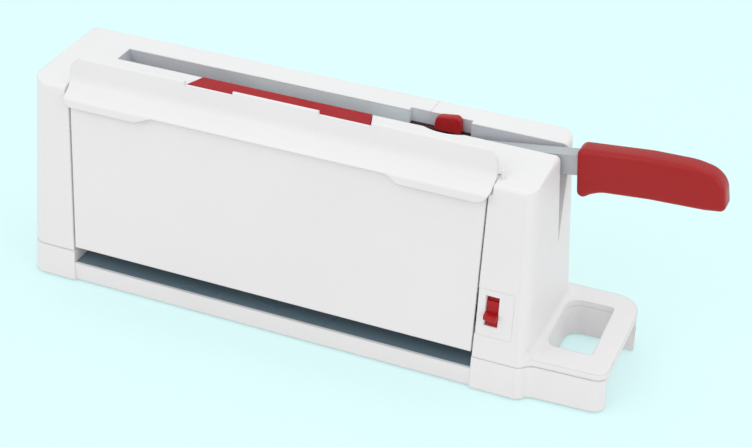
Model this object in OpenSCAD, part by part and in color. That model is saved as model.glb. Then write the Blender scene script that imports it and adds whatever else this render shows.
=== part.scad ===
// Stack paper cutter with a fold-down front panel, a top blade slot, a side lever and a hand loop.
// Millimetres, +Z up, front at -Y, lever to +X.

/* [Body] */
// Width of each post at the base
post_w = 42.7; // [38:0.1:48]
// Height of the body without its feet
body_h = 168; // [160:1:180]
// Rear face, measured from the front lip
rear_y = 114; // [110:1:125]
// Height of the lower moulding
base_h = 26; // [22:1:28]
// Height of the front lip and of the cutting bed
bed_z = 15.3; // [12:0.1:18]
// Backward lean of the front faces in degrees
front_lean = 7.5; // [5:0.5:8]
// Inward lean of the side faces in degrees
side_lean = 2; // [1:0.5:3]
// Wall of the mouldings
wall = 3; // [2.5:0.1:4]
// Radius of the upright front left corner
front_left_r = 14; // [8:1:18]
// Radius of the upright front right corner
front_right_r = 8; // [5:1:16]
// Radius of the upright rear left corner
rear_left_r = 14; // [8:1:20]
// Radius of the upright rear right corner
rear_right_r = 19; // [8:1:24]

/* [Front panel] */
// Clear half width between the posts at the base
open_half = 170.3; // [165:0.1:175]
// Side gap of the panel
panel_gap = 1.4; // [1:0.1:2]
// Lower edge of the panel along its face
panel_low = 29.9; // [28:0.1:33]
// Depth of the panel's ribs behind its face
rib_d = 10; // [8:0.5:12]
// Rise of the hood above the top of the body
hood_up = 18.5; // [14:0.5:26]
// Reach of the hood beyond the opening at each end
hood_over = 2.5; // [1.5:0.1:3.5]

/* [Blade slot and lever] */
// Front edge of the top slot
slot_front = 71; // [69:0.5:73]
// Width of the top slot
slot_w = 18; // [17:0.5:20]
// Thickness of the blade arm
arm_t = 11; // [9:0.5:12]
// Height of the blade arm
arm_h = 16; // [14:0.5:18]
// Rise of the arm to the right in degrees
arm_rise = 7.9; // [6:0.1:9]
// Length of the grip
grip_l = 111.3; // [100:0.1:125]
// Thickness of the grip
grip_t = 17; // [15:0.5:18]
// Diameter of the pivot bolt
pivot_d = 10; // [8:0.5:12]

/* [Press] */
// Stroke of the press bar
press_stroke = 14.5; // [10:0.5:14.5]
// Diameter of the guide rods
rod_d = 8; // [6:0.5:9]

/* [Lock, latch and feet] */
// Width of the lock knob
knob_w = 23; // [18:0.5:26]
// Height of the feet below the base
foot_h = 1.5; // [1:0.1:3]
// Diameter of the feet
foot_d = 14; // [10:1:18]

/* [Hidden] */
$fn = 48;
eps = 0.01;
fit = 0.02;
run = 0.05;
half_w = open_half + post_w;
post_y = -2.2;
slot_rear = slot_front + slot_w;
slot_mid = slot_front + slot_w / 2;
slot_left = -open_half + 11.3;
top_fall = 4;
open_lean = 0.9;
bed_t = 4;
outlet_z = 30;
part_line = 0.6;

// heights under the top of the body: press plate, shelf of the slot, bridge, front edge of the posts
plate_z = body_h - 8;
shelf_z = body_h - 20;
bridge_z = body_h - 40;
top_front_z = body_h - 3.4;
bridge_y = 60;

// joint between the upper mouldings: behind the slot, and under the press plate
seam_x = 97.5;
bridge_seam_x = 30;

// hinge of the panel, pivot of the lever
hinge_y = 8;
hinge_z = 33;
hinge_d = 5;
hinge_end = open_half + 10;
pivot_x = -half_w + 31;
pivot_z = body_h + 0.2 - (half_w - 2 - pivot_x) * tan(arm_rise) - arm_h / 2 / cos(arm_rise);

// lengths along the arm: end of the thick bar, end of the tang, place of the lock lug
bar_l = (half_w + 8 - pivot_x) / cos(arm_rise);
tang_l = (half_w + 67 - pivot_x) / cos(arm_rise);
lug_l = (93 - pivot_x) / cos(arm_rise);
grip_x = half_w + 4.7;
grip_z = pivot_z + bar_l * sin(arm_rise) - 1.7;
grip_end = grip_x + grip_l;

// hood: height of its foot, y of the face there, upper edge, half widths, room at its ends
hood_z = body_h - 10;
hood_y = post_y + tan(front_lean) * hood_z;
hood_h = body_h + hood_up;
hood_half = open_half + hood_over;
hood_flare = hood_half + 2.5;
hood_room = hood_flare + 0.5;
plate_front = hood_y + 15.9;
stop_x = open_half + 8.5;
stop_y = plate_front - 3.7;

// lock pocket in the slot's rear wall
pocket_l = 82;
pocket_r = 131.5;
pocket_y = slot_rear + 4.2;
rail_z = body_h - 17;
knob_z = rail_z + 6.1;
knob_x = 102;

// blade, carrier and cutting stick
blade_y = slot_mid - 3;
blade_t = 2;
carrier_t = 5;
carrier_l = -open_half + 24.3;
carrier_r = open_half - 6.3;
blade_low = bed_z - 0.7;
stick_w = 8;

// press: bar half length, guide rods, red plate
bar_half = open_half - 10.3;
rod_x = open_half - 40.3;
rod_y = bridge_y + 4.75;
plate_l = -85.5;
plate_r = 64;
press_front = 46;

// latch window on the right post's face
latch_x = open_half + 16.7;
latch_w0 = 65;

// hand loop
loop_top = 31;
loop_x = half_w + 57.6;
fillet_r = 8;

// middle of the whole part in plan, so that the origin is under its centre
mid_x = (grip_end - half_w) / 2;
mid_y = (rear_y + post_y) / 2;

white = [0.92, 0.92, 0.93];
grey = [0.62, 0.64, 0.66];
slate = [0.25, 0.32, 0.36];
steel = [0.75, 0.76, 0.78];
red = [0.70, 0.12, 0.14];

// y of the front face at a height, x of the side face at a height, half opening at a height
function face_y(z) = post_y + tan(front_lean) * z;
function side_x(z) = half_w - tan(side_lean) * z;
function open_x(z) = open_half + tan(open_lean) * z;
// top of the posts in front of the slot
function top_z(y) = body_h - tan(top_fall) * (slot_front - y);

// polygon with rounded corners: one radius per point
function unit(v) = v / norm(v);
function corner_arc(a, p, b, r, n = 6) =
    let (u = unit(a - p), w = unit(b - p), half = acos(min(1, max(-1, u * w))) / 2,
         reach = r / tan(half), centre = p + unit(u + w) * r / sin(half),
         s = p + u * reach - centre, e = p + w * reach - centre,
         turn = acos(min(1, max(-1, unit(s) * unit(e)))),
         way = s[0] * e[1] - s[1] * e[0] > 0 ? 1 : -1)
    [for (i = [0 : n]) let (t = way * turn * i / n)
        centre + [s[0] * cos(t) - s[1] * sin(t), s[0] * sin(t) + s[1] * cos(t)]];
function rounded(pts, radii) =
    [for (i = [0 : len(pts) - 1])
        let (a = pts[(i + len(pts) - 1) % len(pts)], b = pts[(i + 1) % len(pts)])
        for (q = radii[i] > 0 ? corner_arc(a, pts[i], b, radii[i]) : [pts[i]]) q];

// extrusions of a drawing: across the width, and through the depth
module across(x0, x1) {
    translate([x0, 0, 0]) rotate([90, 0, 90]) linear_extrude(x1 - x0) children();
}

module through(y0, y1) {
    translate([0, y1, 0]) rotate([90, 0, 0]) linear_extrude(y1 - y0) children();
}

module box(x0, x1, y0, y1, z0, z1) {
    translate([x0, y0, z0]) cube([x1 - x0, y1 - y0, z1 - z0]);
}

module rod_along_x(x0, x1, y, z, r) {
    translate([x0, y, z]) rotate([0, 90, 0]) cylinder(r = r, h = x1 - x0);
}

module rod_along_y(x, y0, y1, z, r) {
    translate([x, y1, z]) rotate([90, 0, 0]) cylinder(r = r, h = y1 - y0);
}

// local frame of the leaning front face: x across, y into the body, z up the face
module on_face() {
    translate([0, post_y, 0]) rotate([-front_lean, 0, 0]) children();
}

// local frame of the blade arm: x along the arm from the pivot
module on_arm() {
    translate([pivot_x, 0, pivot_z]) rotate([0, -arm_rise, 0]) children();
}

// waste outside one rounded upright corner
module corner_waste(sx, sy, r, inset) {
    lean = sy < 0 ? front_lean : 0;
    translate([sx * (half_w - inset), sy < 0 ? post_y + inset : rear_y - inset, 0]) rotate([-lean, -sx * side_lean, 0])
        translate([0, 0, -20]) linear_extrude(body_h * 1.2) difference() {
            translate([min(-sx * r, sx * 8), min(-sy * r, sy * 8)]) square([r + 8, r + 8]);
            translate([-sx * r, -sy * r]) circle(r);
        }
}

// outer form of the body between two heights, with leaning faces and rounded upright corners
module body_form(z0, z1, inset = 0) {
    high = z1 > base_h;
    profile = high
        ? rounded([[face_y(z0), z0], [face_y(top_front_z), top_front_z], [slot_front, body_h], [rear_y, body_h],
                   [rear_y, z0]], [0, 4, 0, 4, 0])
        : [[face_y(z0) + inset, z0], [face_y(z1) + inset, z1], [rear_y - inset, z1], [rear_y - inset, z0]];
    front = high
        ? rounded([[-side_x(z0), z0], [side_x(z0), z0], [side_x(body_h), body_h], [-side_x(body_h), body_h]],
                  [0, 0, 4, 4])
        : [[inset - side_x(z0), z0], [side_x(z0) - inset, z0], [side_x(z1) - inset, z1], [inset - side_x(z1), z1]];
    difference() {
        intersection() {
            across(-half_w - 5, half_w + 5) polygon(profile);
            through(-20, rear_y + 20) polygon(front);
        }
        for (sx = [-1, 1]) {
            corner_waste(sx, -1, (sx < 0 ? front_left_r : front_right_r) - inset, inset);
            corner_waste(sx, 1, (sx < 0 ? rear_left_r : rear_right_r) - inset, inset);
        }
    }
}

// hand loop between two heights: the front leans with the post and eases back from it, the rear is upright
module loop_form(z0, z1, inset = 0) {
    r = 20;
    intersection() {
        on_face() translate([0, 0, z0 - 6]) linear_extrude(z1 - z0 + 36)
            polygon(rounded([[open_half, 0.05 + inset], [half_w - 9, 0.05 + inset], [half_w + 3, 6.8 + inset],
                             [loop_x - inset, 9.2 + inset], [loop_x - 3.6 - inset, rear_y + 20],
                             [open_half, rear_y + 20]], [0, 10, 10, 9, 0, 0]));
        difference() {
            box(half_w - 14, loop_x + 10, -20, rear_y - inset, z0, z1);
            translate([loop_x - 3 - inset, rear_y - inset, z0 - 1]) linear_extrude(z1 - z0 + 2) difference() {
                translate([-r, -r]) square(r + 12);
                translate([-r, -r]) circle(r);
            }
        }
    }
}

module loop_hole_plan() {
    polygon(rounded([[half_w + 4, 31], [half_w + 40, 32], [half_w + 37, 95.5], [half_w + 2, 94.5]], [9, 3, 3, 11]));
}

// drawing of the hollow fillet from an upright side at x down to the top of the loop
module fillet_drawing(x) {
    polygon([[x - 3, loop_top - 1], [x + fillet_r, loop_top - 1],
             for (a = [0 : 15 : 90]) [x + fillet_r * (1 - sin(a)), loop_top + fillet_r * (1 - cos(a))],
             [x - 3, loop_top + fillet_r]]);
}

// fillet along the side of the right post and round its front corner
module loop_fillet() {
    side = side_x(loop_top) - 0.2;
    y0 = face_y(loop_top) + front_right_r;
    y1 = rear_y - rear_right_r;
    intersection() {
        loop_form(loop_top - 2, loop_top + fillet_r + 1, 0.1);
        union() {
            through(y0, y1) fillet_drawing(side);
            // the corner run lies a little inside the straight run and passes into it
            translate([side - front_right_r, y0, 0]) rotate([0, 0, -90]) rotate_extrude(angle = 93)
                fillet_drawing(front_right_r - 0.06);
        }
    }
}

// plan of the press plate, wider in front, grown by a gap
module press_plan(gap) {
    polygon([[plate_l - 7.9 - gap, press_front - gap], [plate_r + 3.6 + gap, press_front - gap],
             [plate_r - 4.6 + gap, slot_front + gap], [plate_l + 2.8 - gap, slot_front + gap]]);
}

module press_recess() {
    translate([0, 0, plate_z - press_stroke - 1.5]) linear_extrude(60) press_plan(0.6);
    box(-68, 48, bridge_y + 2.4, bridge_y + 7.1, bridge_z - 5, plate_z);
}

// hollows shared by both upper mouldings
module upper_hollows() {
    // opening for the front panel, and the work space under the top plate
    through(-40, plate_front)
        polygon([[-open_x(0), 0], [open_x(0), 0], [open_x(240), 240], [-open_x(240), 240]]);
    box(-open_half + 0.5, open_half - 0.5, plate_front - 1, bridge_y, 0, plate_z);
    // room for the ends of the hood
    across(-hood_room, hood_room)
        polygon([[hood_y - 10, hood_z - 2.4], [hood_y - 2.6, hood_z - 2.4], [hood_y + 12.2, hood_z + 6.1],
                 [plate_front, hood_z + 6.1], [plate_front, hood_h + 5], [hood_y - 10, hood_h + 5]]);
    // work space under the bridge, blade slot and rear hollow
    box(-open_half, open_half, bridge_y - 1, slot_front + 1, 0, bridge_z);
    box(-open_half, open_half, slot_front, slot_rear + 1, 0, shelf_z);
    box(slot_left, half_w + 20, slot_front, slot_rear, shelf_z - 2, body_h + 20);
    box(-open_half + 2, open_half - 2, slot_rear, rear_y - wall, 0, body_h - wall);
    // paper outlet at the rear
    box(-open_half + 5.3, open_half - 5.3, rear_y - 20, rear_y + 20, 0, outlet_z);
    // room for the sweep of the blade in the right post and for the arm's boss in the left post
    box(open_half - 5, open_half + 11, slot_front, slot_rear, 0, body_h + 20);
    box(-half_w + 9, -open_half + 1, slot_front, slot_rear, pivot_z - 45.6, shelf_z);
    // slit for the arm in the right side, narrowing downwards
    across(open_half, half_w + 20)
        polygon([[slot_front, body_h - 73.5], [slot_front, body_h + 32], [slot_rear, body_h + 32],
                 [slot_rear, shelf_z]]);
    // liner seat under the edge of the rear strip, and the lock pocket
    box(slot_left - 2, open_half + 11, slot_rear - 1, slot_rear + 2.5, 34, body_h - 0.6);
    box(slot_left - 2, slot_left + 1, slot_front, slot_rear + 2.5, shelf_z - 1, body_h - 0.6);
    box(open_half, half_w - 9, slot_rear - 1, slot_rear + 2.5, shelf_z - 1, body_h - 0.6);
    box(pocket_l, pocket_r, slot_rear - 1, pocket_y, rail_z, body_h + 20);
    box(pocket_l - 2, pocket_r + 2, slot_rear - 1, pocket_y + 2, rail_z - 2, body_h - 0.6);
    // finger scoop in front of the lock knob
    intersection() {
        translate([117, slot_front + 38.4, body_h - 8]) cylinder(r = 41.6, h = 30, $fn = 96);
        box(90, 145, bridge_y, slot_front + 1, body_h - 6, body_h + 20);
    }
    press_recess();
    // hollow posts, open below
    across(-half_w + 16, -open_half - wall) post_hollow(wall);
    across(open_half + 14, half_w - 9) post_hollow(wall + 9);
    // hinge holes, rod holes and pivot hole
    for (s = [-1, 1]) {
        rod_along_x(min(s * (open_half - 2), s * (hinge_end + 1)), max(s * (open_half - 2), s * (hinge_end + 1)),
                    hinge_y, hinge_z, hinge_d / 2 + run);
        translate([s * rod_x, rod_y, bridge_z - 1]) cylinder(d = rod_d + 2 * fit, h = 23);
        for (y = [16, 58, 102])
            translate([s * (half_w - 24), y, base_h - 1]) cylinder(d = 4 + 2 * fit, h = 9);
    }
    rod_along_y(pivot_x, slot_front - 8, slot_rear + 18, pivot_z, pivot_d / 2 + fit);
    // hole of the stop pin
    translate([stop_x, stop_y, top_z(stop_y) - 9]) cylinder(r = 1.7 + fit, h = 30);
    // latch: plate seat, slide room and bolt slot
    on_face() {
        box(open_half - 4, latch_x + 12.44, -2, 1.5, latch_w0 - 18.94, latch_w0 + 18.94);
        box(latch_x - 9, latch_x + 9, 1.4, 6, latch_w0 - 17, latch_w0 + 26);
        box(open_half - 4, latch_x, 3, 7.4, latch_w0 - 12, latch_w0 + 10);
    }
}

// side drawing of the hollow in a post, a wall behind its front face
module post_hollow(front_wall) {
    top = body_h - 18;
    polygon([[face_y(20) + front_wall, 20], [face_y(top) + front_wall, top], [slot_front - wall, top],
             [slot_front - wall, 20]]);
}

// half of the split between the two upper mouldings
module right_half() {
    box(seam_x, half_w + 100, slot_mid, rear_y + 20, 0, body_h + 30);
    box(bridge_seam_x, half_w + 100, -40, slot_mid + 1, 0, body_h + 30);
}

module base_shell() {
    color(white) difference() {
        union() {
            // both heights of the parting line: full width, then stepped in
            for (k = [[base_h - part_line, 0], [base_h, part_line]]) {
                body_form(0, k[0], k[1]);
                loop_form(0, k[0], k[1]);
            }
        }
        // open side of the loop between its feet
        across(half_w + 37, loop_x + 5)
            polygon([[16, -1], [90, -1], [95.5, base_h + 1], [16, base_h + 1]]);
        // loop hole beside the body, front recess of the lip, bed seat and paper way
        translate([0, 0, -1]) linear_extrude(60) loop_hole_plan();
        box(-open_half, open_half, -20, 0, -1, 60);
        box(-open_half, open_half, 2.5, rear_y - wall, bed_z - bed_t, 60);
        box(-open_half, open_half, -20, rear_y + 20, bed_z, 60);
        // hollow underside
        for (s = [-1, 1])
            box(min(s * 14, s * (half_w - 42)), max(s * 14, s * (half_w - 42)), 4, rear_y - 4, -1, 7);
        // rods, posts' screws and feet
        for (s = [-1, 1]) {
            translate([s * rod_x, rod_y, 8]) cylinder(d = rod_d + 2 * fit, h = 20);
            for (y = [16, 58, 102]) {
                translate([s * (half_w - 24), y, -1]) cylinder(d = 4 + 2 * fit, h = base_h + 2);
                translate([s * (half_w - 24), y, -1]) cylinder(d = 8.4, h = 5);
            }
        }
        for (x = [-half_w + 36, 0, half_w - 36], y = [14, rear_y - 14])
            translate([x, y, -1]) cylinder(d = foot_d + 2 * fit, h = 2.5);
    }
}

module left_housing() {
    color(white) difference() {
        body_form(base_h, body_h);
        upper_hollows();
        right_half();
    }
}

module right_housing() {
    color(white) difference() {
        union() {
            intersection() {
                body_form(base_h, body_h);
                right_half();
            }
            loop_form(base_h, loop_top);
            loop_fillet();
        }
        translate([0, 0, base_h - 1]) linear_extrude(40) loop_hole_plan();
        upper_hollows();
    }
}

module slot_liner() {
    color(grey) difference() {
        union() {
            box(slot_left - 2 + fit, open_half - 2, slot_rear, slot_rear + 2.4, 34, body_h - 0.65);
            box(slot_left - 2 + fit, slot_left, slot_front + fit, slot_rear + 2.4, shelf_z, body_h - 0.65);
            box(open_half - 3, half_w - 9.1, slot_rear, slot_rear + 2.4, shelf_z - 0.9, body_h - 0.65);
            box(pocket_l - 1.9, pocket_r + 1.9, slot_rear, pocket_y + 1.9, rail_z - 1.9, body_h - 0.65);
        }
        box(pocket_l, pocket_r, slot_rear - 1, pocket_y, rail_z, body_h + 1);
    }
}

module cutting_bed() {
    color(slate) difference() {
        box(-open_half + fit, open_half - fit, 2.5 + fit, rear_y - wall - fit, bed_z - bed_t, bed_z);
        box(-open_half - 1, open_half + 1, blade_y + 1 - stick_w / 2, blade_y + 1 + stick_w / 2, bed_z - 3, bed_z + 1);
        for (s = [-1, 1])
            translate([s * rod_x, rod_y, 0]) cylinder(d = rod_d + 2 * fit, h = 40);
    }
}

module cutting_stick() {
    color([0.85, 0.83, 0.78]) difference() {
        box(-open_half + 1, open_half - 1, blade_y + 1 - stick_w / 2 + fit, blade_y + 1 + stick_w / 2 - fit,
            bed_z - 3, bed_z);
        box(-open_half, open_half, blade_y - 0.7, blade_y + blade_t + 0.7, bed_z - 1.4, bed_z + 1);
    }
}

module guide_rods() {
    color(steel) for (s = [-1, 1])
        translate([s * rod_x, rod_y, 8]) cylinder(d = rod_d, h = bridge_z + 14);
}

module lock_rail() {
    color([0.26, 0.10, 0.11]) difference() {
        box(pocket_l + fit, pocket_r - fit, slot_rear + 0.4, pocket_y - fit, rail_z, rail_z + 6);
        box(pocket_l - 1, pocket_r + 1, slot_rear + 1.6, slot_rear + 2.8, rail_z + 4, rail_z + 7);
    }
}

module latch_plate() {
    color(white) on_face() difference() {
        box(open_half + 1.6, latch_x + 12.4, 0.05, 1.5, latch_w0 - 18.9, latch_w0 + 18.9);
        box(latch_x - 9.4, latch_x + 1.2, -1, 3, latch_w0 - 10.5, latch_w0 + 14.2);
    }
}

module stop_pin() {
    color(steel) translate([stop_x, stop_y, top_z(stop_y) - 9]) cylinder(r = 1.7, h = 15.5, $fn = 32);
}

module pivot_bolt() {
    color(steel) {
        rod_along_y(pivot_x, slot_front - 7, slot_rear + 17.9, pivot_z, pivot_d / 2);
        rod_along_y(pivot_x, slot_front - wall - 0.9, slot_front - wall - 0.1, pivot_z, pivot_d / 2 + 3);
    }
}

module pivot_nut() {
    color(steel) difference() {
        translate([pivot_x, slot_front - wall - 1, pivot_z]) rotate([90, 0, 0]) cylinder(d = 16, h = 3.8, $fn = 6);
        rod_along_y(pivot_x, slot_front - 20, slot_front, pivot_z, pivot_d / 2 + fit);
    }
}

module rubber_feet() {
    color([0.15, 0.15, 0.16]) for (x = [-half_w + 36, 0, half_w - 36], y = [14, rear_y - 14])
        translate([x, y, -foot_h]) cylinder(d = foot_d, h = foot_h + 1.5);
}

module base_screws() {
    color(steel) for (s = [-1, 1], y = [16, 58, 102])
        translate([s * (half_w - 24), y, 0]) {
            translate([0, 0, 4]) cylinder(d = 4, h = base_h + 3, $fn = 24);
            translate([0, 0, 1.5]) cylinder(d = 8, h = 2.5, $fn = 24);
        }
}

module blade_arm() {
    y0 = slot_mid - arm_t / 2;
    color([0.78, 0.80, 0.81]) on_arm() difference() {
        union() {
            box(0, bar_l, y0, y0 + arm_t, -arm_h / 2, arm_h / 2);
            box(bar_l - 1, tang_l, slot_mid - 3, slot_mid + 3, -arm_h / 2, arm_h / 4);
            rod_along_y(0, y0, y0 + arm_t, 0, 15);
        }
        rod_along_y(0, y0 - 1, y0 + arm_t + 1, 0, pivot_d / 2 + 2.5);
        rod_along_y(lug_l, slot_mid, slot_mid + arm_t, 1.5, 2 + fit);
        // groove for the top edge of the carrier
        box((carrier_l - pivot_x) / cos(arm_rise) - 1.9, (carrier_r - pivot_x) / cos(arm_rise) + 3.3,
            blade_y + blade_t - fit, blade_y + blade_t + carrier_t + fit, -arm_h, -1);
    }
}

module pivot_bush() {
    y0 = slot_mid - arm_t / 2;
    color([0.72, 0.55, 0.30]) difference() {
        rod_along_y(pivot_x, y0, y0 + arm_t, pivot_z, pivot_d / 2 + 2.5 - fit);
        rod_along_y(pivot_x, y0 - 1, y0 + arm_t + 1, pivot_z, pivot_d / 2 + run);
    }
}

// upright side drawing of the carrier: its top follows the arm
module carrier_drawing(low) {
    top0 = pivot_z + (carrier_l - pivot_x) * tan(arm_rise) - 2;
    top1 = pivot_z + (carrier_r - pivot_x) * tan(arm_rise) - 2;
    polygon([[carrier_l, low], [carrier_r, low], [carrier_r, top1], [carrier_l, top0]]);
}

// places of the blade screws along the carrier
function screw_x(i) = carrier_l + 26 + i * (carrier_r - carrier_l - 50) / 4;

module carrier_holes(r) {
    for (i = [0 : 4])
        rod_along_y(screw_x(i), blade_y - 5, blade_y + 12, 44, r);
}

module blade_carrier() {
    color(grey) difference() {
        through(blade_y + blade_t, blade_y + blade_t + carrier_t) carrier_drawing(34);
        carrier_holes(2 + fit);
    }
}

module blade() {
    color([0.83, 0.84, 0.86]) difference() {
        box(carrier_l - 4, carrier_r, blade_y, blade_y + blade_t, blade_low, 56);
        carrier_holes(2 + fit);
        // ground bevel at the rear
        translate([-open_half, blade_y + blade_t, blade_low + 6]) rotate([-162, 0, 0])
            translate([0, -8, -1]) cube([2 * open_half, 8, 12]);
    }
}

module blade_screws() {
    color(steel) for (i = [0 : 4]) {
        rod_along_y(screw_x(i), blade_y, blade_y + blade_t + carrier_t, 44, 2);
        rod_along_y(screw_x(i), blade_y - 1.8, blade_y, 44, 4);
    }
}

module lock_lug() {
    color(steel) on_arm() rod_along_y(lug_l, slot_mid + 2, slot_mid + arm_t / 2 + 3, 1.5, 2);
}

// side drawing of the grip, counted from its heel and from the end of the bar
grip_line = [[0, 10.5], [4.5, 16], [53.3, 20.8], [82.3, 21.5], [97.3, 19], [grip_l - 6.5, 14.5], [grip_l - 2, 7.5],
             [grip_l, -6], [grip_l - 3, -9.3], [grip_l - 16, -12], [56, -13.3], [20.3, -16.5], [12, -20.5],
             [4.6, -27], [1.3, -23]];

module grip() {
    inset = 2.5;
    mid = [grip_l / 2, 2.5];
    color(red) difference() {
        translate([grip_x, 0, grip_z]) {
            through(slot_mid - grip_t / 2 + inset, slot_mid + grip_t / 2 - inset)
                polygon(rounded(grip_line, [3, 4, 30, 20, 12, 6, 6, 2, 1.5, 10, 30, 10, 5, 1.5, 1]));
            // smaller faces on both sides
            for (k = [[0.985, 0.955, 1.2], [0.965, 0.88, 0]])
                through(slot_mid - grip_t / 2 + k[2], slot_mid + grip_t / 2 - k[2])
                    polygon([for (p = grip_line) [mid[0] + (p[0] - mid[0]) * k[0], mid[1] + (p[1] - mid[1]) * k[1]]]);
        }
        on_arm() {
            box(bar_l - 27, bar_l + fit, slot_mid - arm_t / 2 - fit, slot_mid + arm_t / 2 + fit,
                -arm_h / 2 - fit, arm_h / 2 + fit);
            box(bar_l - 17, tang_l + fit, slot_mid - 3 - fit, slot_mid + 3 + fit,
                -arm_h / 2 - fit, arm_h / 4 + fit);
        }
    }
}

module front_panel() {
    h0 = open_x(panel_low) - panel_gap;
    h1 = open_x(hood_z) - panel_gap;
    color(white) difference() {
        union() {
            on_face() {
                through(0.3, 3.8) polygon([[-h0, panel_low], [h0, panel_low], [h1, hood_z], [-h1, hood_z]]);
                // rim and ribs behind the skin
                through(3.7, rib_d) difference() {
                    polygon([[-h0, panel_low + 8], [h0, panel_low + 8], [h1, hood_z], [-h1, hood_z]]);
                    polygon([[-h0 + 3, panel_low + 11], [h0 - 3, panel_low + 11], [h1 - 3, hood_z - 3],
                             [-h1 + 3, hood_z - 3]]);
                }
                for (x = [-112 : 56 : 112])
                    box(x - 1, x + 1, 3.7, 7.5, panel_low + 9, hood_z - 2);
            }
            // flange under the hood, hinge bosses
            across(-open_half + 5.3, open_half - 5.3)
                polygon([[hood_y + 1.2, hood_z - 3.5], [hood_y + 7.9, hood_z - 3.5], [hood_y + 7.9, hood_z + 4.75],
                         [hood_y + 1.2, hood_z + 0.9]]);
            for (s = [-1, 1])
                rod_along_x(s * (h0 - 9) - 8.6, s * (h0 - 9) + 8.6, hinge_y, hinge_z, 5.4);
        }
        for (s = [-1, 1])
            rod_along_x(s * (h0 - 9) - 12, s * (h0 - 9) + 12, hinge_y, hinge_z, hinge_d / 2 + fit);
        // screw holes with a spot-faced seat for each head
        hood_screw_places() {
            cylinder(d = 4 + 2 * fit, h = 30);
            cylinder(d = 6.4, h = 2.4 + fit);
        }
        // keeper of the latch: open below, closed behind at the top
        on_face() {
            box(h0 - 5, h0 + 10, 2.6, rib_d + 5, latch_w0 - 14, latch_w0 + 0.5);
            box(h0 - 5, h0 + 10, 2.6, 7.8, latch_w0 - 14, latch_w0 + 12);
        }
    }
}

// places of the screws that hold the hood
module hood_screw_places() {
    for (x = [-140, -70, 70, 140])
        translate([x, hood_y + 5.8, hood_z - 7.5]) children();
}

// upright section of the hood: lip in front, hollow run up into the standing plate
module hood_section() {
    polygon(rounded([[hood_y - 6.3, hood_z - 18], [hood_y - 5.3, hood_z + 0.2], [hood_y + 8.7, hood_z + 8.3],
                     [hood_y + 11, hood_h], [hood_y + 13.9, hood_h], [hood_y + 11.4, hood_z + 7],
                     [hood_y - 3, hood_z - 1.4], [hood_y - 3.9, hood_z - 18]],
                    [0, 3, 13, 1.3, 1.3, 15.5, 1, 0]));
}

module panel_hood() {
    mid = hood_z - 0.7;
    tab = hood_z - 6.7;
    color(white) difference() {
        intersection() {
            across(-hood_flare - 20, hood_flare + 20) hood_section();
            // front view: deeper tabs with eased steps, sides that widen upwards, rounded upper corners
            through(-40, 100)
                polygon(rounded([[-hood_half - 1.2, tab], [-112, tab], [-98, mid], [96, mid], [104, tab], [hood_half + 2.2, tab],
                                 [hood_flare, hood_z + 14], [hood_flare, hood_h + 1], [-hood_flare, hood_h + 1],
                                 [-hood_flare, hood_z + 14]], [7, 8, 8, 4, 4, 12, 0, 14, 14, 0]));
        }
        // finger notches in the upper edge, screw holes
        for (x = [[-75.5, -35], [35, 77.5]])
            box(x[0], x[1], hood_y, hood_y + 20, hood_h - 3.4, hood_h + 5);
        hood_screw_places() cylinder(d = 4 + 2 * fit, h = 12.15);
    }
}

module hinge_pins() {
    color(steel) for (s = [-1, 1])
        rod_along_x(min(s * (open_half - 18.3), s * hinge_end), max(s * (open_half - 18.3), s * hinge_end),
                    hinge_y, hinge_z, hinge_d / 2);
}

module hood_screws() {
    color(steel) hood_screw_places() {
        cylinder(d = 5.6, h = 2.4, $fn = 24);
        cylinder(d = 4, h = 12.1, $fn = 24);
    }
}

module press_plate() {
    color(red) difference() {
        translate([0, 0, plate_z]) linear_extrude(body_h + 0.3 - plate_z) press_plan(0);
        box(-66 - fit, 46 + fit, bridge_y + 2.75 - fit, bridge_y + 6.75 + fit, plate_z - 1, plate_z + 3 + fit);
    }
}

module press_yoke() {
    color(grey) box(-66, 46, bridge_y + 2.75, bridge_y + 6.75, 49, plate_z + 3);
}

module press_bar() {
    color([0.72, 0.73, 0.75]) difference() {
        box(-bar_half, bar_half, bridge_y - 0.5, slot_front - 1, 32.3, 55);
        box(-66 - fit, 46 + fit, bridge_y + 2.75 - fit, bridge_y + 6.75 + fit, 49, 60);
        for (s = [-1, 1])
            translate([s * rod_x, rod_y, 20]) cylinder(d = rod_d + 2 * run, h = 50);
    }
}

module press_pad() {
    color([0.13, 0.13, 0.14]) difference() {
        box(-bar_half, bar_half, bridge_y + 0.5, slot_front - 2, bed_z + press_stroke + 0.5, 32.3);
        for (s = [-1, 1])
            translate([s * rod_x, rod_y, 20]) cylinder(d = rod_d + 1, h = 30);
    }
}

module lock_knob() {
    color([0.74, 0.09, 0.10]) {
        through(slot_rear - 2.6, pocket_y - 0.3)
            polygon(rounded([[knob_x, knob_z], [knob_x + knob_w, knob_z], [knob_x + knob_w - 1, body_h + 4.2],
                             [knob_x + 2, body_h + 1.4]], [1, 1, 4, 5]));
        box(knob_x + 1, knob_x + knob_w - 1, slot_rear + 1.7, slot_rear + 2.7, knob_z - 1.9, knob_z + 1);
    }
}

module latch_slide() {
    color(red) on_face() {
        box(latch_x - 8.8, latch_x + 8.6, 1.6, 4.6, latch_w0 - 16, latch_w0 + 17);
        translate([0, 0, latch_w0]) across(latch_x - 9, latch_x + 0.8)
            polygon([[2, -10], [-0.2, -10], [-0.2, -8.5], [-3.2, -8.5], [-3.2, -5], [-1.6, 1], [-0.2, 2.6], [2, 2.6]]);
        box(open_half - 3.2, latch_x, 3.4, 7, latch_w0 - 11.6, latch_w0 - 2);
    }
}

// Piece to show

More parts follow.
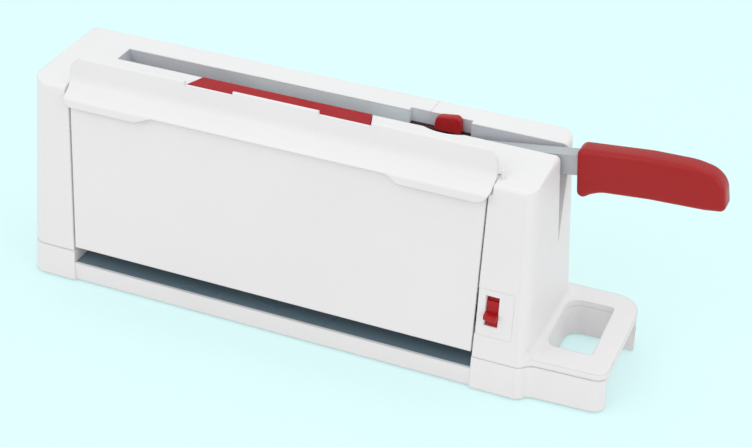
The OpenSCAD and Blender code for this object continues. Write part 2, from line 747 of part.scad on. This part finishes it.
translate([-mid_x, -mid_y, foot_h]) {
    base_shell();
    left_housing();
    right_housing();
    slot_liner();
    cutting_bed();
    cutting_stick();
    guide_rods();
    lock_rail();
    latch_plate();
    stop_pin();
    pivot_bolt();
    pivot_nut();
    rubber_feet();
    base_screws();
    blade_arm();
    pivot_bush();
    blade_carrier();
    blade();
    blade_screws();
    lock_lug();
    grip();
    front_panel();
    panel_hood();
    hinge_pins();
    hood_screws();
    press_plate();
    press_yoke();
    press_bar();
    press_pad();
    lock_knob();
    latch_slide();
}
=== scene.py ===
"""Stack paper cutter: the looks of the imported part, section by section as it is put together."""
import math

import bpy
from mathutils import Matrix, Vector


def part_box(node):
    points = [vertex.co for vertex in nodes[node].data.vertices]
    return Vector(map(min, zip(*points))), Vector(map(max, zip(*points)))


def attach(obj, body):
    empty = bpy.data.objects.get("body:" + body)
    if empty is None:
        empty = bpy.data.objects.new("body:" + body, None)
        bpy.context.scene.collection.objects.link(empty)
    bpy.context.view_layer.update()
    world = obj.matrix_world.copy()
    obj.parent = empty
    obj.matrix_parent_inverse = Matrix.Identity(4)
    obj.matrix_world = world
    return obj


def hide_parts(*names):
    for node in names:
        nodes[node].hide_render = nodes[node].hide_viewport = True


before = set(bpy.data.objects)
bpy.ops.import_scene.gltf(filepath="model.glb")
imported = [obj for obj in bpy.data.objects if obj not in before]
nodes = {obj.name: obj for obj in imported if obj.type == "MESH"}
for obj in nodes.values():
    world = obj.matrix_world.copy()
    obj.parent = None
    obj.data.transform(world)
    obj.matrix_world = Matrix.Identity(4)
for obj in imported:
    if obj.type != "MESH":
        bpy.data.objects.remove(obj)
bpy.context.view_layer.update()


# Base moulding: the long tray with the front lip and the feet of the hand loop.
# White ABS out of a finely eroded mould, so it has a soft sheen and a very fine grain.
# The upper mouldings are screwed on from below, and their edge shows as a parting line.
def linear(red, green, blue):
    """A screen colour of 0 to 255 as scene light."""
    def channel(value):
        share = value / 255
        return share / 12.92 if share <= 0.04045 else ((share + 0.055) / 1.055) ** 2.4
    return (channel(red), channel(green), channel(blue), 1.0)


def group_tree(name, inputs, outputs):
    """An empty shader node group with named sockets, and its two end nodes."""
    tree = bpy.data.node_groups.new(name, "ShaderNodeTree")
    for label, kind in inputs:
        tree.interface.new_socket(label, in_out="INPUT", socket_type=kind)
    for label, kind in outputs:
        tree.interface.new_socket(label, in_out="OUTPUT", socket_type=kind)
    return tree, tree.nodes.new("NodeGroupInput"), tree.nodes.new("NodeGroupOutput")


def add_node(tree, kind, **values):
    """One node, with its settings and the values of its input sockets."""
    made = tree.nodes.new(kind)
    for key, value in values.items():
        if key in made.bl_rna.properties:
            setattr(made, key, value)
        else:
            made.inputs[key.replace("_", " ")].default_value = value
    return made


noise_low, noise_high = 0.3, 0.7


def swing(tree, source, low, high):
    """A noise value, which mostly lies between the two noise levels, spread between two others."""
    spread = add_node(tree, "ShaderNodeMapRange", From_Min=noise_low, From_Max=noise_high,
                      To_Min=low, To_Max=high)
    tree.links.new(source, spread.inputs["Value"])
    return spread.outputs["Result"]


def make_moulded_skin():
    """Fine eroded grain, a slow drift of tone and faint rub marks, for every moulded plastic."""
    tree, start, end = group_tree(
        "moulded_skin",
        [("Colour", "NodeSocketColor"), ("Drift", "NodeSocketFloat"), ("Grain", "NodeSocketFloat"),
         ("Gloss", "NodeSocketFloat")],
        [("Colour", "NodeSocketColor"), ("Roughness", "NodeSocketFloat"), ("Height", "NodeSocketFloat")])
    place = add_node(tree, "ShaderNodeTexCoord").outputs["Object"]
    grain = add_node(tree, "ShaderNodeTexNoise", Detail=3.0, Roughness=0.55)
    tone = add_node(tree, "ShaderNodeTexNoise", Scale=11.0, Detail=2.0)
    rubs = add_node(tree, "ShaderNodeTexNoise", Scale=55.0, Detail=4.0, Distortion=0.6)
    for texture in (grain, tone, rubs):
        tree.links.new(place, texture.inputs["Vector"])
    tree.links.new(start.outputs["Grain"], grain.inputs["Scale"])
    lighter = add_node(tree, "ShaderNodeHueSaturation")
    shade = add_node(tree, "ShaderNodeMath", operation="MULTIPLY_ADD")
    tree.links.new(swing(tree, tone.outputs["Fac"], -1.0, 1.0), shade.inputs[0])
    tree.links.new(start.outputs["Drift"], shade.inputs[1])
    shade.inputs[2].default_value = 1.0
    tree.links.new(shade.outputs[0], lighter.inputs["Value"])
    tree.links.new(start.outputs["Colour"], lighter.inputs["Color"])
    tree.links.new(lighter.outputs["Color"], end.inputs["Colour"])
    rough = add_node(tree, "ShaderNodeMath", operation="ADD")
    tree.links.new(start.outputs["Gloss"], rough.inputs[0])
    tree.links.new(swing(tree, rubs.outputs["Fac"], -0.05, 0.07), rough.inputs[1])
    tree.links.new(rough.outputs[0], end.inputs["Roughness"])
    tree.links.new(grain.outputs["Fac"], end.inputs["Height"])
    return tree


moulded_skin = make_moulded_skin()


def finish_from(group, name, colour, edge, bump, depth, metal=0.0, shine=0.5, softer=None, **values):
    """A material whose colour, gloss and grain come from a group, with softly broken edges.

    softer names a place along the part and the wider edge radius that holds beyond it.
    """
    change = 0.003
    material = bpy.data.materials.new(name)
    material.use_nodes = True
    tree = material.node_tree
    shader = tree.nodes["Principled BSDF"]
    shader.inputs["Metallic"].default_value = metal
    shader.inputs["Specular IOR Level"].default_value = shine
    skin = tree.nodes.new("ShaderNodeGroup")
    skin.node_tree = group
    skin.inputs["Colour"].default_value = colour
    for key, value in values.items():
        skin.inputs[key.capitalize()].default_value = value
    edges = add_node(tree, "ShaderNodeBevel", samples=6, Radius=edge)
    if softer:
        place, wide = softer
        spot = add_node(tree, "ShaderNodeTexCoord")
        along = add_node(tree, "ShaderNodeSeparateXYZ")
        widen = add_node(tree, "ShaderNodeMapRange", From_Min=place - change, From_Max=place + change,
                         To_Min=edge, To_Max=wide)
        tree.links.new(spot.outputs["Object"], along.inputs["Vector"])
        tree.links.new(along.outputs["X"], widen.inputs["Value"])
        tree.links.new(widen.outputs["Result"], edges.inputs["Radius"])
    relief = add_node(tree, "ShaderNodeBump", Strength=bump, Distance=depth)
    tree.links.new(edges.outputs["Normal"], relief.inputs["Normal"])
    tree.links.new(skin.outputs["Height"], relief.inputs["Height"])
    tree.links.new(skin.outputs["Colour"], shader.inputs["Base Color"])
    tree.links.new(skin.outputs["Roughness"], shader.inputs["Roughness"])
    tree.links.new(relief.outputs["Normal"], shader.inputs["Normal"])
    return material


def dress(node, material):
    """Puts a finish on a CAD node, over the plain one that it came with."""
    nodes[node].data.materials.clear()
    nodes[node].data.materials.append(material)


white_tone = linear(236, 235, 236)


def white_finish(name, edge, softer=None):
    """The white plastic of the housing and the panel, with an edge radius of its own."""
    return finish_from(moulded_skin, name, white_tone, edge=edge, bump=0.12, depth=0.00008, softer=softer,
                       drift=0.012, grain=2600.0, gloss=0.42)


white_moulding = white_finish("white_moulding", edge=0.0009)
dress("base_shell", white_moulding)


# Feet and base screws: six rubber discs pressed into seats, and six plated screws in deep bores.
# The rubber is matt with a dusty bloom; the screws are plated steel with fine lines along them.
# The colour mix is met here first, so the places of its colour sockets are named here.
first_colour, second_colour, mixed_colour = 6, 7, 2


def make_rubber_bloom():
    """A dusty bloom and a coarse skin for rubber."""
    tree, start, end = group_tree(
        "rubber_bloom",
        [("Colour", "NodeSocketColor"), ("Bloom", "NodeSocketColor"), ("Gloss", "NodeSocketFloat")],
        [("Colour", "NodeSocketColor"), ("Roughness", "NodeSocketFloat"), ("Height", "NodeSocketFloat")])
    place = add_node(tree, "ShaderNodeTexCoord").outputs["Object"]
    dust = add_node(tree, "ShaderNodeTexNoise", Scale=130.0, Detail=5.0)
    pores = add_node(tree, "ShaderNodeTexVoronoi", Scale=1500.0)
    for texture in (dust, pores):
        tree.links.new(place, texture.inputs["Vector"])
    blend = add_node(tree, "ShaderNodeMix", data_type="RGBA")
    tree.links.new(swing(tree, dust.outputs["Fac"], 0.0, 0.5), blend.inputs["Factor"])
    tree.links.new(start.outputs["Colour"], blend.inputs[first_colour])
    tree.links.new(start.outputs["Bloom"], blend.inputs[second_colour])
    tree.links.new(blend.outputs[mixed_colour], end.inputs["Colour"])
    rough = add_node(tree, "ShaderNodeMath", operation="ADD")
    tree.links.new(start.outputs["Gloss"], rough.inputs[0])
    tree.links.new(swing(tree, dust.outputs["Fac"], -0.08, 0.1), rough.inputs[1])
    tree.links.new(rough.outputs[0], end.inputs["Roughness"])
    tree.links.new(pores.outputs["Distance"], end.inputs["Height"])
    return tree


rubber_bloom = make_rubber_bloom()
foot_rubber = finish_from(rubber_bloom, "foot_rubber", linear(34, 34, 36), edge=0.0006, bump=0.2,
                          depth=0.0001, bloom=linear(58, 58, 60), gloss=0.75)
dress("rubber_feet", foot_rubber)


def make_drawn_metal():
    """Fine drawn lines along one direction, with a light haze of handling, for metal parts."""
    tree, start, end = group_tree(
        "drawn_metal",
        [("Colour", "NodeSocketColor"), ("Stretch", "NodeSocketVector"), ("Gloss", "NodeSocketFloat")],
        [("Colour", "NodeSocketColor"), ("Roughness", "NodeSocketFloat"), ("Height", "NodeSocketFloat")])
    place = add_node(tree, "ShaderNodeTexCoord").outputs["Object"]
    along = add_node(tree, "ShaderNodeVectorMath", operation="MULTIPLY")
    tree.links.new(place, along.inputs[0])
    tree.links.new(start.outputs["Stretch"], along.inputs[1])
    lines = add_node(tree, "ShaderNodeTexNoise", Scale=1.0, Detail=3.0)
    haze = add_node(tree, "ShaderNodeTexNoise", Scale=38.0, Detail=4.0)
    tree.links.new(along.outputs[0], lines.inputs["Vector"])
    tree.links.new(place, haze.inputs["Vector"])
    lighter = add_node(tree, "ShaderNodeHueSaturation")
    tree.links.new(swing(tree, lines.outputs["Fac"], 0.93, 1.05), lighter.inputs["Value"])
    tree.links.new(start.outputs["Colour"], lighter.inputs["Color"])
    tree.links.new(lighter.outputs["Color"], end.inputs["Colour"])
    rough = add_node(tree, "ShaderNodeMath", operation="ADD")
    tree.links.new(start.outputs["Gloss"], rough.inputs[0])
    tree.links.new(swing(tree, haze.outputs["Fac"], -0.04, 0.1), rough.inputs[1])
    tree.links.new(rough.outputs[0], end.inputs["Roughness"])
    tree.links.new(lines.outputs["Fac"], end.inputs["Height"])
    return tree


drawn_metal = make_drawn_metal()
plated_steel = finish_from(drawn_metal, "plated_steel", linear(205, 206, 209), edge=0.0004, bump=0.08,
                           depth=0.00003, metal=1.0, stretch=(2600.0, 2600.0, 90.0), gloss=0.24)
dress("base_screws", plated_steel)


# Cutting bed and stick: a steel plate with a dark slate coat, level with the lip, and in it a
# pale plastic stick that takes the edge of the blade. The coat is smooth and shows blurred reflections.
def make_coat_paint():
    """Stoved paint: a low orange-peel swell, a fine fleck and some wiped haze."""
    tree, start, end = group_tree(
        "coat_paint",
        [("Colour", "NodeSocketColor"), ("Fleck", "NodeSocketFloat"), ("Gloss", "NodeSocketFloat")],
        [("Colour", "NodeSocketColor"), ("Roughness", "NodeSocketFloat"), ("Height", "NodeSocketFloat")])
    place = add_node(tree, "ShaderNodeTexCoord").outputs["Object"]
    swell = add_node(tree, "ShaderNodeTexNoise", Scale=420.0, Detail=1.0)
    fleck = add_node(tree, "ShaderNodeTexNoise", Scale=1900.0, Detail=2.0)
    haze = add_node(tree, "ShaderNodeTexNoise", Scale=22.0, Detail=4.0, Distortion=0.8)
    for texture in (swell, fleck, haze):
        tree.links.new(place, texture.inputs["Vector"])
    lighter = add_node(tree, "ShaderNodeHueSaturation")
    shade = add_node(tree, "ShaderNodeMath", operation="MULTIPLY_ADD")
    tree.links.new(swing(tree, fleck.outputs["Fac"], -1.0, 1.0), shade.inputs[0])
    tree.links.new(start.outputs["Fleck"], shade.inputs[1])
    shade.inputs[2].default_value = 1.0
    tree.links.new(shade.outputs[0], lighter.inputs["Value"])
    tree.links.new(start.outputs["Colour"], lighter.inputs["Color"])
    tree.links.new(lighter.outputs["Color"], end.inputs["Colour"])
    rough = add_node(tree, "ShaderNodeMath", operation="ADD")
    tree.links.new(start.outputs["Gloss"], rough.inputs[0])
    tree.links.new(swing(tree, haze.outputs["Fac"], -0.05, 0.09), rough.inputs[1])
    tree.links.new(rough.outputs[0], end.inputs["Roughness"])
    tree.links.new(swell.outputs["Fac"], end.inputs["Height"])
    return tree


coat_paint = make_coat_paint()
slate_coat = finish_from(coat_paint, "slate_coat", linear(114, 137, 150), edge=0.0005, bump=0.05,
                         depth=0.00005, fleck=0.06, gloss=0.28)
dress("cutting_bed", slate_coat)
stick_plastic = finish_from(moulded_skin, "stick_plastic", linear(226, 222, 210), edge=0.0005, bump=0.1,
                            depth=0.00008, drift=0.04, grain=1800.0, gloss=0.5)
dress("cutting_stick", stick_plastic)


# Guide rods: two ground steel rods that stand between base and bridge and guide the press bar.
# They are bright, with the fine upright lines of centreless grinding.
ground_steel = finish_from(drawn_metal, "ground_steel", linear(214, 215, 218), edge=0.0004, bump=0.05,
                           depth=0.00002, metal=1.0, stretch=(3200.0, 3200.0, 60.0), gloss=0.16)
dress("guide_rods", ground_steel)


# Upper mouldings: the left one is post, bridge and rear wall in one, the right one closes the end and
# carries the top of the hand loop. Same white plastic as the base, with softer edges on the left one
# and on the loop; their seam shows on the rear strip and is hidden by the press plate in front.
soft_moulding = white_finish("soft_moulding", edge=0.0018)
dress("left_housing", soft_moulding)
loop_start, loop_edge = 0.154, 0.0019
loop_moulding = white_finish("loop_moulding", edge=0.0009, softer=(loop_start, loop_edge))
dress("right_housing", loop_moulding)


def ring_solid(name, rings):
    """A closed piece through a row of like rings of places, pulled out one after the other."""
    lift = Vector((0, 0, 0.001))
    smooth_below = math.radians(35)
    bpy.ops.object.select_all(action="DESELECT")
    bpy.ops.mesh.primitive_circle_add(vertices=len(rings[0]), radius=0.01, fill_type="NGON")
    piece = bpy.context.object
    piece.name = name
    piece.data.name = name
    for vertex, place in zip(piece.data.vertices, rings[0]):
        vertex.co = place
    for ring, ahead in zip(rings, rings[1:]):
        bpy.ops.object.mode_set(mode="EDIT")
        bpy.ops.mesh.extrude_region_move(TRANSFORM_OT_translate={"value": lift})
        bpy.ops.object.mode_set(mode="OBJECT")
        for vertex in piece.data.vertices:
            if vertex.select:
                nearest = min(range(len(ring)), key=lambda i: (ring[i] + lift - vertex.co).length)
                vertex.co = ahead[nearest]
    bpy.ops.object.mode_set(mode="EDIT")
    bpy.ops.mesh.select_all(action="SELECT")
    bpy.ops.mesh.normals_make_consistent(inside=False)
    bpy.ops.object.mode_set(mode="OBJECT")
    bpy.ops.object.shade_smooth_by_angle(angle=smooth_below)
    return piece


def put_on(piece, body, material):
    """Gives a new piece its finish and lets it move with its body."""
    piece.data.materials.clear()
    piece.data.materials.append(material)
    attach(piece, body)


# the fillet between post and loop goes on round the rear corner of the post; its rim runs out level with
# the loop, so this finish leaves the edges sharp
fillet_moulding = white_finish("fillet_moulding", edge=0.00005)
corner_centre = Vector((0.1347, 0.0391, 0.0325))
corner_r, hollow_r = 0.019, 0.008
# how far the piece reaches into the post and under the top of the loop
inside, below = 0.0015, 0.0003
# degrees of the way round the corner, counted from the post's right side
sweep_from, sweep_to, sweep_step = -2, 44, 2
hollow = [(corner_r - inside, -below), (corner_r + hollow_r, -below)]
for turn in range(0, 91, 10):
    angle = math.radians(turn)
    hollow.append((corner_r + hollow_r * (1 - math.sin(angle)), hollow_r * (1 - math.cos(angle))))
hollow.append((corner_r - inside, hollow_r))
fillet_rings = []
for turn in range(sweep_from, sweep_to + 1, sweep_step):
    angle = math.radians(turn)
    outward = Vector((math.cos(angle), math.sin(angle), 0))
    fillet_rings.append([corner_centre + outward * out + Vector((0, 0, up)) for out, up in hollow])
put_on(ring_solid("loop_fillet_end", fillet_rings), "housing", fillet_moulding)


# Slot liner: a folded sheet along the rear wall of the blade slot and round the lock pocket.
# Grey satin paint on steel; the paler, bluish stretch along the middle, behind the press plate, is painted
# light.
liner_grey = linear(205, 208, 214)
liner_painted_light = linear(228, 242, 246)
# the stretch of painted light along the part, and the shares of it between which the painted light is at its
# palest
painted_light_from, painted_light_to = -0.15, 0.05
painted_light_peak = (0.25, 0.75)
liner_paint = finish_from(coat_paint, "liner_paint", liner_grey, edge=0.0005, bump=0.06, depth=0.00005,
                          fleck=0.03, gloss=0.4)
liner_tree = liner_paint.node_tree
liner_place = add_node(liner_tree, "ShaderNodeTexCoord")
liner_along = add_node(liner_tree, "ShaderNodeSeparateXYZ")
liner_span = add_node(liner_tree, "ShaderNodeMapRange", From_Min=painted_light_from, From_Max=painted_light_to)
# the paint colour runs from the grey at the ends to painted light along the middle
liner_ramp = add_node(liner_tree, "ShaderNodeValToRGB")
liner_stops = liner_ramp.color_ramp.elements
for stop in liner_stops:
    stop.color = liner_grey
for share in painted_light_peak:
    liner_stops.new(share).color = liner_painted_light
liner_tree.links.new(liner_place.outputs["Object"], liner_along.inputs["Vector"])
liner_tree.links.new(liner_along.outputs["X"], liner_span.inputs["Value"])
liner_tree.links.new(liner_span.outputs["Result"], liner_ramp.inputs["Fac"])
liner_skin = next(node for node in liner_tree.nodes if node.type == "GROUP")
liner_tree.links.new(liner_ramp.outputs["Color"], liner_skin.inputs["Colour"])
dress("slot_liner", liner_paint)


# Lock rail: the dark strip at the bottom of the pocket in which the lock knob slides.
# Maroon plastic, a little glossy from the sliding; its dark maroon is painted shade and a painted reflection
# of the red knob.
rail_plastic_painted_shade = finish_from(moulded_skin, "rail_plastic_painted_shade", linear(78, 34, 38), edge=0.0004, bump=0.1,
                           depth=0.00006, drift=0.06, grain=2200.0, gloss=0.36)
dress("lock_rail", rail_plastic_painted_shade)


# Latch plate, stop pin, pivot bolt and nut: a white insert let into the post's face round the latch
# window, a white stud beside the end of the hood, and the plated bolt that carries the lever.
insert_moulding = white_finish("insert_moulding", edge=0.0003)
dress("latch_plate", insert_moulding)
dress("stop_pin", white_moulding)
for fastener in ("pivot_bolt", "pivot_nut"):
    dress(fastener, plated_steel)


# Lever: a flat steel arm in light grey paint, turning on a bronze bush. Below it hang the carrier and
# the ground blade with its screws; a small lug in the arm's side meets the lock.
arm_paint = finish_from(coat_paint, "arm_paint", linear(180, 184, 188), edge=0.0006, bump=0.06, depth=0.00005,
                        fleck=0.025, gloss=0.36)
dress("blade_arm", arm_paint)
grey_paint = finish_from(coat_paint, "grey_paint", linear(160, 164, 169), edge=0.0005, bump=0.06,
                         depth=0.00005, fleck=0.03, gloss=0.4)
dress("blade_carrier", grey_paint)
bush_bronze = finish_from(drawn_metal, "bush_bronze", linear(196, 158, 104), edge=0.0003, bump=0.08,
                          depth=0.00003, metal=1.0, stretch=(900.0, 120.0, 900.0), gloss=0.3)
dress("pivot_bush", bush_bronze)
blade_steel = finish_from(drawn_metal, "blade_steel", linear(220, 222, 226), edge=0.0002, bump=0.1,
                          depth=0.00003, metal=1.0, stretch=(2400.0, 2400.0, 50.0), gloss=0.18)
dress("blade", blade_steel)
dress("blade_screws", plated_steel)
dress("lock_lug", plated_steel)


# Grip: a solid red handle moulded over the end of the arm, with a straight back, a hooked heel
# and a rounded nose. The long edges are well rounded for the hand, the skin is satin.
def corner_arc(before, corner, after, radius, steps):
    """Points of the arc that rounds one corner of a flat outline."""
    if radius <= 0:
        return [corner]
    to_before = (before - corner).normalized()
    to_after = (after - corner).normalized()
    half = math.acos(max(-1.0, min(1.0, to_before.dot(to_after)))) / 2
    centre = corner + (to_before + to_after).normalized() * (radius / math.sin(half))
    first = corner + to_before * (radius / math.tan(half)) - centre
    last = corner + to_after * (radius / math.tan(half)) - centre
    turn = math.atan2(first.x * last.y - first.y * last.x, first.dot(last))
    return [centre + Matrix.Rotation(turn * step / steps, 2) @ first for step in range(steps + 1)]


def rounded_outline(points, radii, steps=6):
    """A closed flat outline with each corner rounded to its own radius."""
    corners = [Vector(point) for point in points]
    count = len(corners)
    outline = []
    for index in range(count):
        after = corners[(index + 1) % count]
        outline += corner_arc(corners[index - 1], corners[index], after, radii[index], steps)
    return outline


def inset_ring(outline, inward, amount):
    """The same outline drawn in by an amount, every corner kept."""
    ring = []
    for index, place in enumerate(outline):
        come = (place - outline[index - 1]).normalized()
        go = (outline[(index + 1) % len(outline)] - place).normalized()
        side = inward.cross(come) + inward.cross(go)
        ring.append(place + side * (amount / (1 + come.dot(go))))
    return ring


def outline_slab(name, outline, depth, rim, steps=4):
    """A flat outline of places, pulled out ring by ring along a depth, its two rims rounded."""
    across = Vector(depth).normalized()
    turn = sum((outline[i - 1].cross(outline[i]) for i in range(len(outline))), Vector()).dot(across)
    inward = across if turn > 0 else -across
    quarter = [math.pi / 2 * step / steps for step in range(steps + 1)]
    levels = [(rim * (1 - math.sin(angle)), rim * (1 - math.cos(angle))) for angle in quarter]
    levels += [(inset, Vector(depth).length - shift) for inset, shift in reversed(levels)]
    rings = [[place + across * shift for place in inset_ring(outline, inward, inset)]
             for inset, shift in levels]
    return ring_solid(name, rings)


grip_low, grip_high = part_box("grip")
heel_x, grip_top = grip_low.x, grip_high.z
# corners of the side view: along from the heel, down from the top, and the radius of each
back_corners = [(0.0004, 0.0057, 0.0055), (0.0533, 0.0006, 0.06), (0.0853, 0.0, 0.05)]
nose_corners = [(0.1003, 0.0031, 0.0192), (0.1085, 0.0114, 0.0162), (0.1112, 0.0312, 0.0045)]
belly_corners = [(0.0953, 0.0333, 0.04), (0.0560, 0.0347, 0.06), (0.0203, 0.0379, 0.025)]
heel_corners = [(0.0122, 0.0417, 0.008), (0.0024, 0.0494, 0.0045)]
grip_corners = back_corners + nose_corners + belly_corners + heel_corners
grip_side = rounded_outline([(heel_x + along, grip_top - down) for along, down, radius in grip_corners],
                            [radius for along, down, radius in grip_corners], steps=8)
grip_outline = [Vector((point.x, grip_low.y, point.y)) for point in grip_side]
grip_depth = (0, grip_high.y - grip_low.y, 0)
handle_grip = outline_slab("handle_grip", grip_outline, grip_depth, rim=0.0041, steps=6)
red_moulding = finish_from(moulded_skin, "red_moulding", linear(166, 24, 26), edge=0.0008, bump=0.1,
                           depth=0.00007, shine=0.3, drift=0.03, grain=2400.0, gloss=0.34)
put_on(handle_grip, "lever", red_moulding)
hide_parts("grip")


# Front panel and hood: a white panel with ribs behind, hinged on two steel pins at its foot. The hood is a
# second moulding, screwed to the panel's top flange: a lip with two tabs in front, then a standing plate.
dress("front_panel", white_moulding)
dress("panel_hood", white_moulding)
dress("hinge_pins", ground_steel)
dress("hood_screws", plated_steel)


# Press: the red plate on top of the bridge is pushed down by hand; a sheet yoke carries its push to an
# aluminium bar with rubber strips below, which slides on the guide rods and holds the stack.
press_red = finish_from(moulded_skin, "press_red", linear(168, 20, 30), edge=0.0005, bump=0.1, depth=0.00007,
                        shine=0.15, drift=0.03, grain=2400.0, gloss=0.4)
dress("press_plate", press_red)
bar_aluminium = finish_from(drawn_metal, "bar_aluminium", linear(206, 208, 211), edge=0.0005, bump=0.1,
                            depth=0.00004, metal=1.0, stretch=(60.0, 1500.0, 1500.0), gloss=0.34)
dress("press_bar", bar_aluminium)
dress("press_yoke", grey_paint)
dress("press_pad", foot_rubber)


# Lock knob: a small bright red slider with rounded shoulders, standing in the pocket of the rear wall.
# Pushed to the left it holds the lever down.
knob_low, knob_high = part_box("lock_knob")
knob_foot = knob_low.z + 0.0019
left_slant, left_drop = 0.002, 0.0028
right_foot_in, right_top_in = 0.0005, 0.0015
foot_r, right_shoulder_r, left_shoulder_r = 0.0016, 0.004, 0.005
knob_front = [(knob_low.x, knob_foot), (knob_high.x - right_foot_in, knob_foot),
              (knob_high.x - right_top_in, knob_high.z), (knob_low.x + left_slant, knob_high.z - left_drop)]
knob_side = rounded_outline(knob_front, [foot_r, foot_r, right_shoulder_r, left_shoulder_r])
knob_outline = [Vector((point.x, knob_low.y, point.y)) for point in knob_side]
knob_depth = (0, knob_high.y - knob_low.y, 0)
knob_head = outline_slab("knob_head", knob_outline, knob_depth, rim=0.0014, steps=4)
knob_red = finish_from(moulded_skin, "knob_red", linear(172, 20, 26), edge=0.0004, bump=0.08, depth=0.00006,
                       shine=0.3, drift=0.03, grain=2400.0, gloss=0.3)
put_on(knob_head, "lock", knob_red)
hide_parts("lock_knob")


# Panel latch: a red slide behind the window in the right post, with a thumb step to push it up by and a
# bolt that holds the panel, whose dark maroon is painted shade for the shadowed gap. The plate is lower
# behind its top edge, so the window looks dark there.
face_lean = Matrix.Rotation(math.radians(-7.5), 3, "X")
slide_width, window_up = 0.0176, 0.065
window_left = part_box("latch_slide")[1].x - slide_width
face_foot = Vector((window_left, -0.0581, 0.0015))


def on_face(left, into, up):
    """A place on the leaning face of the post, counted from the left side and the middle of the window."""
    return face_foot + Vector((left, 0, 0)) + face_lean @ Vector((0, into, window_up + up))


# outlines seen from the side: depth behind the face, height on it, radius
slide_side = [(0.0046, -0.016, 0), (0.0016, -0.016, 0), (0.0016, 0.0096, 0.0003), (0.0035, 0.0101, 0.0003),
              (0.0035, 0.017, 0), (0.0046, 0.017, 0)]
bolt_side = [(0.0034, -0.0116, 0), (0.007, -0.0116, 0), (0.007, -0.002, 0), (0.0034, -0.002, 0)]
thumb_side = [(0.0018, -0.0046, 0), (-0.0036, -0.0042, 0.0005), (-0.0042, -0.0034, 0.0004),
              (-0.0041, -0.0004, 0.0006), (-0.0006, 0.0004, 0.0004), (0.0018, 0.0006, 0)]
for piece_name, side, left, width, slot, finish in (
        ("latch_plate_slide", slide_side, 0.0002, 0.0174, "red", knob_red),
        # the bolt's dark maroon is painted shade for the gap it sits in
        ("latch_bolt", bolt_side, -0.0109, 0.0199, "maroon", rail_plastic_painted_shade),
        ("latch_thumb", thumb_side, 0.0, 0.0098, "red", knob_red)):
    line = rounded_outline([corner[:2] for corner in side], [corner[2] for corner in side], steps=3)
    places = [on_face(left, point.x, point.y) for point in line]
    latch_piece = outline_slab(piece_name, places, (width, 0, 0), rim=0.00018, steps=2)
    put_on(latch_piece, "latch", finish)
    if piece_name == "latch_plate_slide":
        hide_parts("latch_slide")


# Stand: the pale floor and backdrop, soft light from a bright room and three broad lamps,
# and the camera at the place from which the photograph was taken.
backdrop_tone = linear(225, 255, 255)
floor_size, floor_down = 24.0, 0.0002
# greys that floor and room send out as light, and the part of the floor's own light when it is seen
floor_grey = (0.86, 0.86, 0.86, 1.0)
room_grey = (0.825, 0.82, 0.815, 1.0)
own_light = 0.5
lamps_aim = Vector((0, 0, 0.08))


def seen_mix(tree):
    """1 where the eye, a mirror or a clear part looks at the stage, 0 where it only sends light."""
    path = add_node(tree, "ShaderNodeLightPath")
    total = path.outputs["Is Camera Ray"]
    for ray in ("Is Glossy Ray", "Is Transmission Ray"):
        either = add_node(tree, "ShaderNodeMath", operation="MAXIMUM")
        tree.links.new(total, either.inputs[0])
        tree.links.new(path.outputs[ray], either.inputs[1])
        total = either.outputs[0]
    return total


bpy.ops.object.select_all(action="DESELECT")
bpy.ops.mesh.primitive_plane_add(size=floor_size, location=(0, 0, -floor_down))
floor = bpy.context.object
floor.name = "floor"
floor_paint = bpy.data.materials.new("floor_paint")
floor_paint.use_nodes = True
floor_tree = floor_paint.node_tree
floor_shader = floor_tree.nodes["Principled BSDF"]
floor_shader.inputs["Roughness"].default_value = 0.9
floor_shader.inputs["Specular IOR Level"].default_value = 0.0
floor_mix = add_node(floor_tree, "ShaderNodeMix", data_type="RGBA")
floor_mix.inputs[first_colour].default_value = floor_grey
seen_tone = [(1 - own_light) * channel for channel in backdrop_tone[:3]] + [1.0]
floor_mix.inputs[second_colour].default_value = seen_tone
floor_seen = seen_mix(floor_tree)
floor_tree.links.new(floor_seen, floor_mix.inputs["Factor"])
floor_glow = add_node(floor_tree, "ShaderNodeMath", operation="MULTIPLY")
floor_glow.inputs[1].default_value = own_light
floor_tree.links.new(floor_seen, floor_glow.inputs[0])
floor_tree.links.new(floor_glow.outputs[0], floor_shader.inputs["Emission Strength"])
floor_shader.inputs["Emission Color"].default_value = backdrop_tone
floor_tree.links.new(floor_mix.outputs[mixed_colour], floor_shader.inputs["Base Color"])
floor.data.materials.append(floor_paint)

room = bpy.data.worlds.new("room")
bpy.context.scene.world = room
room.use_nodes = True
room_tree = room.node_tree
room_light = room_tree.nodes["Background"]
room_mix = add_node(room_tree, "ShaderNodeMix", data_type="RGBA")
room_mix.inputs[first_colour].default_value = room_grey
room_mix.inputs[second_colour].default_value = backdrop_tone
room_tree.links.new(seen_mix(room_tree), room_mix.inputs["Factor"])
room_tree.links.new(room_mix.outputs[mixed_colour], room_light.inputs["Color"])

for lamp_name, place, watts, width in (("front_lamp", (-0.9, -1.6, 1.7), 8.0, 1.6),
                                       ("right_lamp", (1.9, -0.5, 1.0), 5.0, 1.4),
                                       ("top_lamp", (0.3, 0.4, 2.2), 7.0, 1.8)):
    lamp_data = bpy.data.lights.new(lamp_name, "AREA")
    lamp_data.energy = watts
    lamp_data.size = width
    lamp = bpy.data.objects.new(lamp_name, lamp_data)
    lamp.location = place
    lamp.rotation_euler = (lamps_aim - Vector(place)).to_track_quat("-Z", "Y").to_euler()
    bpy.context.scene.collection.objects.link(lamp)

eye_data = bpy.data.cameras.new("photo_eye")
eye_data.sensor_width = 36.0
eye_data.lens = 86.17
eye = bpy.data.objects.new("photo_eye", eye_data)
eye.location = (0.4792, -1.0483, 0.8299)
eye.rotation_euler = (math.radians(57.01), 0.0, math.radians(24.05))
bpy.context.scene.collection.objects.link(eye)
bpy.context.scene.camera = eye
bpy.context.scene.view_settings.view_transform = "Standard"
